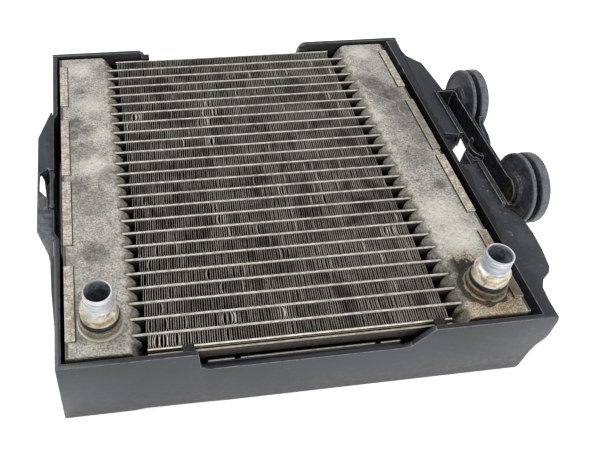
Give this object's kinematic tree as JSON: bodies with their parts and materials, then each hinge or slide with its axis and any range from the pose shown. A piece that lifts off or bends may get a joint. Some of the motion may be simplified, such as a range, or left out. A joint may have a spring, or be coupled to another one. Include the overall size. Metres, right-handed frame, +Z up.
{
  "type": "coolant radiator",
  "caption": "Finned flat-tube coolant radiator with side tanks and hose nipples, held in a moulded air guide with rubber mounting grommets on an arm.",
  "frame": {"origin": "bottom centre of the whole object's box, on the plane the air guide stands on", "axes": "+X along the flat tubes towards the grommet arm, +Y across the tubes away from the hose nipples, +Z up through the fins, out of the nipples"},
  "size_m": [0.3056, 0.2648, 0.0745],
  "materials": {
    "tube_aluminium": "dull, oxidised",
    "fin_aluminium": "dirty, dull",
    "tank_aluminium": "oxidised, speckled",
    "nipple_aluminium": "machined, stained",
    "seal_rubber": "matt",
    "guide_plastic": "satin moulded, scuffed",
    "grommet_rubber": "matt, worn rims"
  },
  "bodies": {
    "radiator": {"flat_tube_01": "tube_aluminium", "flat_tube_02": "tube_aluminium", "flat_tube_03": "tube_aluminium", "flat_tube_04": "tube_aluminium", "flat_tube_05": "tube_aluminium", "flat_tube_06": "tube_aluminium", "flat_tube_07": "tube_aluminium", "flat_tube_08": "tube_aluminium", "flat_tube_09": "tube_aluminium", "flat_tube_10": "tube_aluminium", "flat_tube_11": "tube_aluminium", "flat_tube_12": "tube_aluminium", "flat_tube_13": "tube_aluminium", "flat_tube_14": "tube_aluminium", "flat_tube_15": "tube_aluminium", "flat_tube_16": "tube_aluminium", "flat_tube_17": "tube_aluminium", "flat_tube_18": "tube_aluminium", "flat_tube_19": "tube_aluminium", "flat_tube_20": "tube_aluminium", "flat_tube_21": "tube_aluminium", "flat_tube_22": "tube_aluminium", "flat_tube_23": "tube_aluminium", "flat_tube_24": "tube_aluminium", "fin_bank_1": "fin_aluminium", "fin_bank_2": "fin_aluminium", "fin_bank_3": "fin_aluminium", "fin_bank_4": "fin_aluminium", "fin_bank_5": "fin_aluminium", "side_plate_back": "tube_aluminium", "side_plate_front": "tube_aluminium", "header_tank_left": "tank_aluminium", "tank_cover_left": "tank_aluminium", "end_cap_left_back": "tank_aluminium", "end_cap_left_front": "tank_aluminium", "coolant_nipple_left": "nipple_aluminium", "nipple_seal_left": "seal_rubber", "header_tank_right": "tank_aluminium", "tank_cover_right": "tank_aluminium", "end_cap_right_back": "tank_aluminium", "end_cap_right_front": "tank_aluminium", "coolant_nipple_right": "nipple_aluminium", "nipple_seal_right": "seal_rubber", "air_guide": "guide_plastic", "grommet_arm": "guide_plastic"},
    "grommet_back": {"rubber_grommet_back": "grommet_rubber"},
    "grommet_front": {"rubber_grommet_front": "grommet_rubber"},
    "tongue": {"snap_tongue": "guide_plastic"}
  },
  "joints": [
    {"name": "grommet_back_turn", "type": "hinge", "parent": "radiator", "child": "grommet_back", "pos_m": [0.147, 0.058, 0.042], "axis": [1, 0, 0], "continuous": true},
    {"name": "grommet_front_turn", "type": "hinge", "parent": "radiator", "child": "grommet_front", "pos_m": [0.147, -0.0314, 0.042], "axis": [1, 0, 0], "continuous": true},
    {"name": "tongue_bend", "type": "hinge", "parent": "radiator", "child": "tongue", "pos_m": [-0.1443, -0.021, 0.041], "axis": [0, 0, 1], "range_deg": [0, 4], "stiffness_Nm_per_rad": 0.6}
  ]
}
